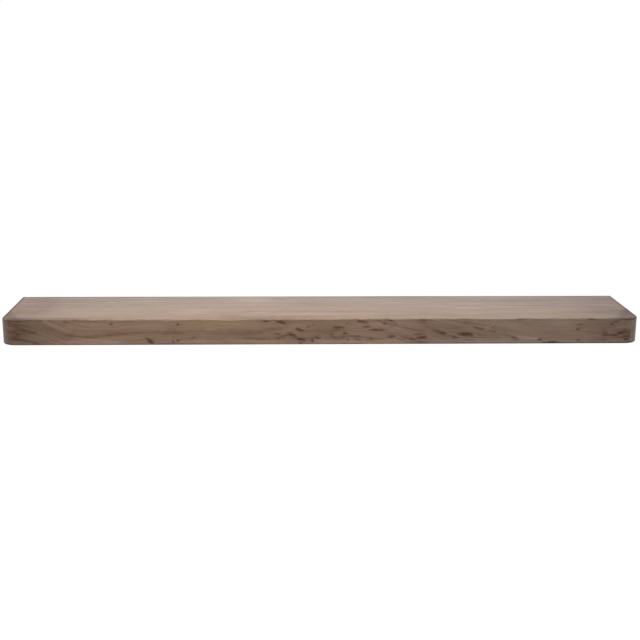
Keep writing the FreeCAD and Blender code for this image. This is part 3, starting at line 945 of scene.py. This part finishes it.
def wobble(x, z, seed):
    """A wavy number between about -1 and 1 that is the same each time for one seed."""
    waves = np.random.default_rng(seed)
    total = np.zeros_like(x)
    for size in WAVE_SIZES:
        turn = waves.uniform(0.6, 1.4, 2)
        phase = waves.uniform(0, 2 * math.pi, 2)
        swing = np.sin(turn[1] * z / (WAVE_RUN_Z * size) + phase[1])
        total += size * np.sin(turn[0] * x / (WAVE_RUN_X * size) + phase[0] + swing)
    return total / sum(WAVE_SIZES)


def ellipse(x, z, centre_x, centre_z, length, height, slope):
    """The squared distance from an ellipse's middle, 1 on its outline."""
    turn = math.radians(slope)
    along = (x - centre_x) * math.cos(turn) + (z - centre_z) * math.sin(turn)
    across = (z - centre_z) * math.cos(turn) - (x - centre_x) * math.sin(turn)
    return (2 * along / length) ** 2 + (2 * across / height) ** 2


def distance_to_line(x, z, points):
    """The distance to the nearest place on a line through points."""
    nearest = np.full_like(x, np.inf)
    for (x0, z0), (x1, z1) in zip(points[:-1], points[1:]):
        run_x, run_z = x1 - x0, z1 - z0
        share = ((x - x0) * run_x + (z - z0) * run_z) / (run_x ** 2 + run_z ** 2)
        share = np.clip(share, 0, 1)
        nearest = np.minimum(nearest, np.hypot(x - x0 - share * run_x, z - z0 - share * run_z))
    return nearest


def figure_and_shade(x, z):
    """How dark, pale, rosy and grey the face is at each point, as four columns, painted light and shade at
    its bottom edge and round corners included. Golden wood is less than 0 rosy."""
    x = x + WAVER[0] * wobble(x, z, 1)
    z = z + WAVER[1] * wobble(x, z, 2)
    found = np.zeros((len(x), 4))
    for *shape, tones in PATCHES:
        inside = np.exp(-PATCH_FADE * ellipse(x, z, *shape))
        found += inside[:, None] * tones
    uneven = STREAK_STEADY + STREAK_BROKEN * wobble(x / 2.5, z / 2, 3)
    for points, width, tones in STREAKS:
        distance = 2 * distance_to_line(x, z, points) / width
        halo = STREAK_HALO * np.exp(-((distance / STREAK_HALO_WIDTH) ** 2))
        inside = uneven * np.exp(-(distance ** 2)) + halo
        found[:, :3] += inside[:, None] * tones
    for *shape, dark in KNOTS:
        reach = ellipse(x, z, *shape)
        halo = KNOT_HALO * np.exp(-reach / KNOT_HALO_REACH)
        found[:, 0] += dark * (KNOT_MIDDLE * np.exp(-(reach ** 2)) + halo)
    return np.clip(found, (0, 0, -1, 0), 1)


def quietness(x, z):
    """How quiet the grain is at each point."""
    found = np.zeros_like(x)
    for *shape, share in QUIET:
        found += share * np.exp(-PATCH_FADE * ellipse(x, z, *shape, 0.0))
    return np.clip(found, 0, QUIETEST)


def grain_shift(x, z):
    """How far the grain's pattern is moved up or down at each point, so that it follows the lines of
    the face and flows round the knots."""
    slope_x, slope = np.array(GRAIN_SLOPES).T
    along = np.arange(-FACE_HALF, FACE_HALF + 1)
    rise = np.cumsum(np.interp(along, slope_x, slope))
    rise -= np.interp(GRAIN_FIXED_AT, along, rise)
    shift = -np.interp(x, along, rise)
    for centre_x, centre_z, length, height, turn, dark in KNOTS:
        length *= KNOT_BEND_REACH
        height *= KNOT_BEND_REACH
        near = np.exp(-ellipse(x, z, centre_x, centre_z, length, height, turn))
        shift -= KNOT_BEND * dark * (z - centre_z) * near
    return shift


def depth_behind_face(x, y):
    """How far points lie behind the rail's rounded outer face, in plan."""
    radius = CORNER_RADIUS / MM
    past_corner = np.maximum(np.abs(x) - (x.max() - radius), 0)
    before_corner = np.maximum(y.min() + radius - y, 0)
    return radius - np.hypot(past_corner, before_corner)


def draw_figure(mesh):
    """Writes the figure, with its painted light and shade, and the run of the grain to the rail's mesh,
    where its material reads them.
    """
    place = np.empty(len(mesh.vertices) * 3)
    mesh.vertices.foreach_get("co", place)
    x, y, z = place.reshape(-1, 3).T / MM
    marks = figure_and_shade(x, z) * np.exp(-((depth_behind_face(x, y) / FIGURE_DEPTH) ** 2))[:, None]
    shift = np.zeros((len(x), 3))
    shift[:, 2] = grain_shift(x, z)
    for name, values in (("greyness", marks[:, 3]), ("quiet", quietness(x, z))):
        mesh.attributes.new(name, "FLOAT", "POINT").data.foreach_set("value", values)
    for name, values in (("figure_and_shade", marks[:, :3]), ("grain_shift", shift)):
        layer = mesh.attributes.new(name, "FLOAT_VECTOR", "POINT")
        layer.data.foreach_set("vector", values.ravel())


def front_rail():
    """The rail that shows in front, in place of the plain CAD solid."""
    mesh = rail_mesh()
    draw_figure(mesh)
    rail = bpy.data.objects.new("front_rail_board", mesh)
    bpy.context.scene.collection.objects.link(rail)
    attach(rail, "shelf")
    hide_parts("front_rail")
    return rail


# ---------- The weld beads ----------

def bead_rings(rod, leg, plate_front, turned):
    """Points of one bead, as rings round its rod, from the plate along the bead to the rod."""
    low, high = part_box(rod)
    centre_x = (low.x + high.x) / 2
    centre_z = (low.z + high.z) / 2
    radius = (high.x - low.x) / 2
    turn = np.linspace(0.0, 2 * math.pi, BEAD_STEPS, endpoint=False)[:, None]
    across = np.linspace(0.0, 1.0, BEAD_POINTS)[None]
    crest = (turn / (2 * math.pi) * BEAD_RIPPLES + RIPPLE_CURVE * (2 * across - 1) ** 2) % 1.0
    size = 1 - RIPPLE_DEPTH * crest ** 2 - BEAD_WAVER * (1 + np.sin(3 * turn + turned))
    size = np.where((across == 0) | (across == 1), np.maximum(size, BEAD_EDGE), size)
    out = (1 - BEAD_BULGE) * (1 - across) + BEAD_BULGE * np.cos(across * math.pi / 2)
    up = (1 - BEAD_BULGE) * across + BEAD_BULGE * np.sin(across * math.pi / 2)
    reach = np.concatenate([radius + leg * size * out, np.full_like(turn, radius)], 1)
    y = np.concatenate([plate_front - leg * size * up, np.full_like(turn, plate_front)], 1)
    x = centre_x + reach * np.cos(turn)
    z = centre_z + reach * np.sin(turn)
    return np.stack([x, y, z], 2)


def weld_beads():
    """The rippled beads between the plate and the rods, in place of the plain fillets."""
    low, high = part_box("rod_welds")
    leg = high.y - low.y
    vertices, faces = [], []
    for k, rod in enumerate(RODS, 1):
        rings = bead_rings(rod, leg, high.y, BEAD_TURN * k)
        steps, points = rings.shape[:2]
        at = len(vertices) + np.arange(steps * points).reshape(steps, points)
        after = np.roll(at, -1, 0)
        for i in range(steps):
            for j in range(points):
                m = (j + 1) % points
                faces.append((at[i, j], after[i, j], after[i, m], at[i, m]))
        vertices.extend(rings.reshape(-1, 3).tolist())

    mesh = bpy.data.meshes.new("weld_beads")
    mesh.from_pydata(vertices, [], [tuple(map(int, face)) for face in faces])
    turned_out = bmesh.new()
    turned_out.from_mesh(mesh)
    bmesh.ops.recalc_face_normals(turned_out, faces=turned_out.faces)
    turned_out.to_mesh(mesh)
    turned_out.free()
    mesh.shade_smooth()
    mesh.set_sharp_from_angle(angle=math.radians(BEAD_SHARP))
    beads = bpy.data.objects.new("weld_beads", mesh)
    bpy.context.scene.collection.objects.link(beads)
    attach(beads, "wall_bracket")
    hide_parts("rod_welds")
    return beads


# ---------- Stage, light and camera ----------

def seen_directly(nodes):
    """1 for rays from the camera, off glossy things or through clear ones, 0 for light on the object."""
    rays = nodes.node("ShaderNodeLightPath").outputs
    seen = nodes.math("MAXIMUM", rays["Is Camera Ray"], rays["Is Glossy Ray"])
    return nodes.math("MAXIMUM", seen, rays["Is Transmission Ray"])


def world():
    """White where it is seen, and plain soft light on the object."""
    made = bpy.data.worlds.new("studio")
    made.use_nodes = True
    nodes = Nodes(made.node_tree)
    inputs = {"Value": seen_directly(nodes), "To Min": AMBIENT, "To Max": 1.0}
    strength = nodes.node("ShaderNodeMapRange", inputs).outputs[0]
    background = made.node_tree.nodes["Background"]
    nodes.feed(background.inputs["Color"], WHITE)
    nodes.feed(background.inputs["Strength"], strength)
    bpy.context.scene.world = made


def floor():
    """A pale floor far below the shelf. It glows a little where it is seen, so that it looks white and
    still keeps the shelf's shadow."""
    half = FLOOR_SIZE / 2
    corners = [(-half, -half, 0), (half, -half, 0), (half, half, 0), (-half, half, 0)]
    mesh = bpy.data.meshes.new("floor")
    mesh.from_pydata(corners, [], [(0, 1, 2, 3)])
    made = bpy.data.objects.new("floor", mesh)
    made.location.z = -FLOOR_DROP
    bpy.context.scene.collection.objects.link(made)

    s = Shader("floor_paint")
    looks = {
        "Base Color": FLOOR_PAINT,
        "Roughness": 1.0,
        "Specular IOR Level": 0.0,
        "Emission Color": WHITE,
        "Emission Strength": s.math("MULTIPLY", seen_directly(s), FLOOR_GLOW),
    }
    mesh.materials.append(s.finished(looks))


def lamp(name, place, target, size, power):
    """A softbox at place that faces target."""
    light = bpy.data.lights.new(name, "AREA")
    light.shape = "RECTANGLE"
    light.size, light.size_y = size
    light.energy = power
    made = bpy.data.objects.new(name, light)
    away = Vector(place) - Vector(target)
    made.rotation_mode = "QUATERNION"
    made.rotation_quaternion = away.to_track_quat("Z", "Y")
    made.location = place
    bpy.context.scene.collection.objects.link(made)


def camera():
    """The camera, at the photograph's place and angle."""
    data = bpy.data.cameras.new("camera")
    data.lens = CAMERA_LENS
    made = bpy.data.objects.new("camera", data)
    yaw = Matrix.Rotation(math.radians(CAMERA_YAW), 4, "Z")
    pitch = Matrix.Rotation(math.radians(CAMERA_PITCH), 4, "X")
    roll = Matrix.Rotation(math.radians(CAMERA_ROLL), 4, "Y")
    upright = Matrix.Rotation(math.pi / 2, 4, "X")
    made.matrix_world = Matrix.Translation(CAMERA_PLACE) @ yaw @ pitch @ roll @ upright
    bpy.context.scene.collection.objects.link(made)
    bpy.context.scene.camera = made


# ---------- The scene ----------

front_board = acacia("acacia_front")
rail = front_rail()
rail.data.materials.append(front_board)
dress(["front_rail"], front_board)
dress(["top_panel"], acacia("acacia_top", cut_at=(410.0, 62.0, 25.0)))
dress(["bottom_panel"], acacia("acacia_bottom", cut_at=(-930.0, -140.0, 60.0)))
dress(["left_end_board", "right_end_board"], acacia("acacia_end", grain_axis=1))
dress(["rear_rail", "middle_rail"], sawn_wood("core_wood_long", 0, PINE))
dress(RIBS, sawn_wood("core_wood_short", 1, PINE))
dress(["frame_dowels"], sawn_wood("dowel_wood", 1, BEECH))
dress(["lock_inserts"], plated_metal("insert_metal", YELLOW_ZINC))
dress(["lock_screws"], plated_metal("screw_steel", BRIGHT_ZINC))
bracket_coat = powder_coat()
dress(["wall_plate", "rod_welds", *RODS], bracket_coat)
weld_beads().data.materials.append(bracket_coat)

bpy.context.scene.view_settings.view_transform = "Standard"
world()
floor()
for softbox in SOFTBOXES:
    lamp(*softbox)
camera()
